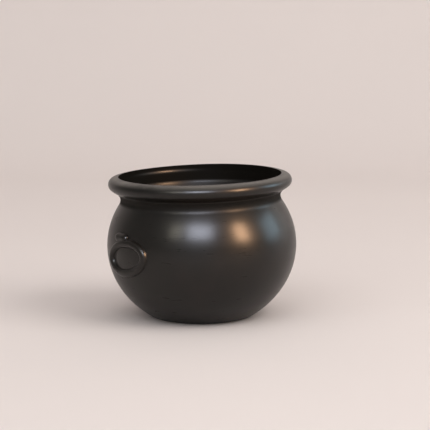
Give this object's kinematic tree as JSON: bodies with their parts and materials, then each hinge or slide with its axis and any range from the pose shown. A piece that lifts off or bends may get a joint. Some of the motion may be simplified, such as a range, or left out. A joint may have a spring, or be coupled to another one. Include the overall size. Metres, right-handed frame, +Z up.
{
  "type": "black clay pot",
  "caption": "Round bellied burnished black clay pot with a short neck, a rolled lip, a wide mouth and ring reliefs hung from lugs at the sides.",
  "frame": {"origin": "centre of the flat foot, on the surface the pot stands on", "axes": "+Z up, +X out of the pot through the right ring relief, +Y towards the back; the pot stands on its foot"},
  "size_m": [0.2063, 0.2, 0.1516],
  "materials": {
    "burnished_clay": "black reduced clay, burnished to a satin shine",
    "rough_clay": "black reduced clay, left matt"
  },
  "bodies": {
    "root": {"floor_slab": "rough_clay", "lower_bowl": "burnished_clay", "belly_band": "burnished_clay", "shoulder_band": "burnished_clay", "neck_collar": "burnished_clay", "rim_roll": "burnished_clay", "left_ring": "burnished_clay", "left_lug": "burnished_clay", "right_ring": "burnished_clay", "right_lug": "burnished_clay"}
  },
  "joints": []
}
